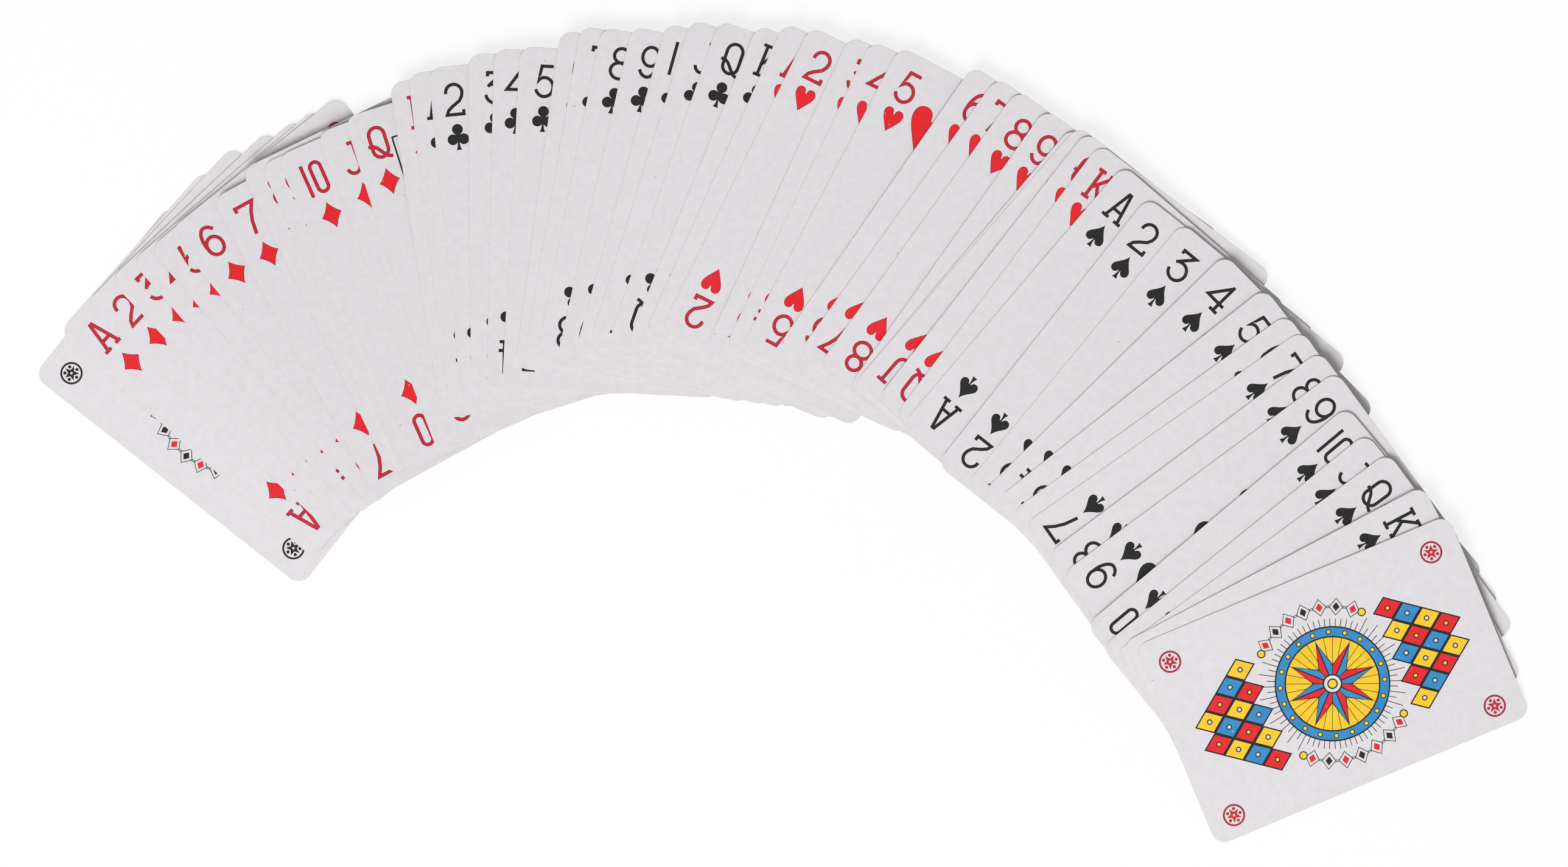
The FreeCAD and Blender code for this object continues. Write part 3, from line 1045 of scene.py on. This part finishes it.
def crown(y, width, height, points, cap, jewel):
    """A crown: a cap behind, pointed gold with a bead on each point, and a jewelled band."""
    half = width / 2
    cap_across, cap_up = width * CAP_SHARES[0], height * CAP_SHARES[1]
    shapes = lined(cap, arc(0, y + CAP_LIFT, cap_across, cap_up, 0, 180, 14))

    def rise(tip):
        """The height of a point, which is the less the farther out it stands."""
        return height * (1 - OUTER_POINT_DROP * abs(tip / half) ** 2)

    gold = [(-half * GOLD_FOOT, y), (half * GOLD_FOOT, y)]
    for k in range(points):
        right = half - 2 * half * k / points
        left = half - 2 * half * (k + 1) / points
        tip = (right + left) / 2
        gold.append((tip, y + rise(tip)))
        if k < points - 1:
            gold.append((left * NOTCH_SIDE, y + height * NOTCH_RISE))
    shapes += lined(YELLOW, gold, GOLD_OUTLINE)
    for k in range(points):
        tip = half - 2 * half * (k + 0.5) / points
        shapes += lined_disc(jewel, tip, y + rise(tip) + CROWN_BEAD_LIFT, CROWN_BEAD_RADII, 14)
    end, low, high = half * CROWN_BAND_HALF, y - CROWN_BAND_FROM, y + CROWN_BAND_TO
    shapes += lined(YELLOW, [(-end, low), (end, low), (end, high), (-end, high)], GOLD_OUTLINE)
    for k in range(5):
        x = (k - 2) * half * JEWEL_PITCH
        maker, size = (lozenge, JEWEL_LOZENGE) if k % 2 else (disc, JEWEL_DISC)
        fill = [part - JEWEL_LINE for part in size]
        shapes.append(maker(BLACK, x, y + JEWEL_LIFT, *size))
        shapes.append(maker((jewel, cap)[k % 2], x, y + JEWEL_LIFT, *fill))
    return shapes


BAND_HALF = 16.4
BAND_RISES = (4.6, 9.8)
BAND_PITCH = 4.7
BAND_SLOPE = 0.439
BAND_LOZENGES = (1.75, 1.35)


def band(first, second):
    """The sloping band of lozenges across the middle, which turns over on itself."""
    x, (low, high) = BAND_HALF, BAND_RISES
    shapes = lined(YELLOW, [(-x, -high), (x, low), (x, high), (-x, -low)])
    shapes.append((BLACK, [(-x, -high + 1), (x, low + 1), (x, low + 1.2), (-x, -high + 1.2)]))
    shapes.append((BLACK, [(-x, -low - 1.2), (x, high - 1.2), (x, high - 1), (-x, -low - 1)]))
    for k in range(7):
        x = (k - 3) * BAND_PITCH
        for ink, reach in zip((BLACK, (first, second)[k % 2]), BAND_LOZENGES):
            shapes.append(lozenge(ink, x, x * BAND_SLOPE, reach, reach))
    return shapes


def petal(ink, x, y, turn, long, wide):
    """A leaf or petal that starts at (x, y) and points along its turn, with a vein."""
    a = math.radians(turn)
    half = curve((0, 0), (long * 0.3, wide * 1.1), (long * 0.75, wide * 0.9), (long, 0), 7)
    edge = half + [(long, 0)] + [(px, -py) for px, py in reversed(half[1:])]
    near, far, thin = long * 0.2, long * 0.7, 0.09
    vein = [(near, -thin), (far, -thin), (far, thin), (near, thin)]

    def aimed(px, py):
        right = x + px * math.cos(a) - py * math.sin(a)
        return (right, y + px * math.sin(a) + py * math.cos(a))

    leaf = lined(ink, [aimed(*p) for p in edge], PETAL_OUTLINE)
    return leaf + [(BLACK, [aimed(*p) for p in vein])]


TAB_PITCH = 2.7
TAB_HALF = 1.35
TAB_POINT, TAB_FOOT, TAB_SPOT, TAB_TOP = 10.6, 12.4, 14.4, 16.9


def king_half(first, second):
    """A tall crown over a row of tabs."""
    shapes = crown(18.6, 20.0, 10.4, 5, first, second)
    for k in range(7):
        x = (k - 3) * TAB_PITCH
        left, right = x - TAB_HALF, x + TAB_HALF
        tab = [(left, TAB_FOOT), (x, TAB_POINT), (right, TAB_FOOT), (right, TAB_TOP), (left, TAB_TOP)]
        shapes += lined((second, YELLOW)[k % 2], tab, TAB_OUTLINE)
        shapes.append(disc(BLACK, x, TAB_SPOT, 0.5, 8))
    return shapes


FLOWER_HEIGHT = 15.4
LEAF_FOOT = (3.4, 15.2)
# each leaf's turn and length, for the three on either side
LEAVES = ((50, 7.6), (0, 7.4), (-32, 5.0))


def queen_half(first, second):
    """A coronet over a flower with six leaves."""
    shapes = crown(24.0, 17.0, 7.0, 3, second, first)
    x, y = LEAF_FOOT
    for side in (-1, 1):
        for turn, long in LEAVES:
            shapes += petal(second, side * x, y, 90 - side * (90 - turn), long, 1.8)
    for k in range(6):
        shapes += petal((first, YELLOW)[k % 2], 0, FLOWER_HEIGHT, 30 + 60 * k, 5.6, 2.5)
    shapes += lined_disc(YELLOW, 0, FLOWER_HEIGHT, (1.8, 1.45), 18)
    return shapes + [disc(BLACK, 0, FLOWER_HEIGHT, 0.6, 10)]


PLUME_FOOT = 22.4
SHIELD_RIM = 1.2
BEND = [(-5.7, 15.4), (5.7, 19.4), (5.7, 22.0), (-5.7, 18.0)]


def jack_half(first, second):
    """Arms on a shield with five plumes."""
    shapes = []
    for turn, ink in ((154, first), (26, first), (124, YELLOW), (56, YELLOW), (90, second)):
        shapes += petal(ink, 0, PLUME_FOOT, turn, 10.6, 2.9)
    side = curve((0, 8.6), (3.8, 10.4), (7.0, 13.4), (7.2, 17.6), 6)
    shield = mirrored(side + [(7.2, 17.6), (7.2, 23.4), (0, 23.4)])
    shapes += lined(YELLOW, shield, GOLD_OUTLINE)
    shapes += lined(second, drawn_in(shield, SHIELD_RIM), ARMS_OUTLINE)
    shapes += lined(first, BEND)
    return shapes + [star(YELLOW, 2.2, 14.0, 5, 1.8, 0.75), star(YELLOW, -2.9, 20.6, 5, 1.6, 0.66)]


COURTS = (("jack", "J", jack_half), ("queen", "Q", queen_half), ("king", "K", king_half))
PIPS = {"diamond": diamond_pip, "club": club_pip, "heart": heart_pip, "spade": spade_pip}
COURT_DRIFTS = {
    "diamond": [(0.0, -0.5), (-0.35, -0.2), (-0.1, 0.1)],
    "club": [(0.1, 0.05), (-0.3, 0.1), (-0.35, 0.55)],
    "heart": [(-0.85, 0.2), (-0.6, -0.15), (-0.1, -0.55)],
    "spade": [(-0.45, -0.3), (-0.05, -0.1), (-0.35, -0.7)],
}

start, short, long = GLORY_ENDS
glory = [
    ray(BLACK, 360 / GLORY_RAYS * k, start, short if k % 2 else long, RAY_WIDTH)
    for k in range(GLORY_RAYS)
]
for suit, pip in PIPS.items():
    inks = (RED, BLUE) if suit in ("diamond", "heart") else (BLUE, RED)
    for (word, letter, half), drift in zip(COURTS, COURT_DRIFTS[suit]):
        picture = placed(glory, 0, GLORY_HEIGHT) + half(*inks)
        picture += placed(pip(COURT_PIP), *COURT_PIP_PLACE)
        shapes = corner_marks(letter, suit, pip) + framed() + both_ends(picture) + band(*inks)
        lay_card(word + "_of_" + suit + "s", shapes, drift)
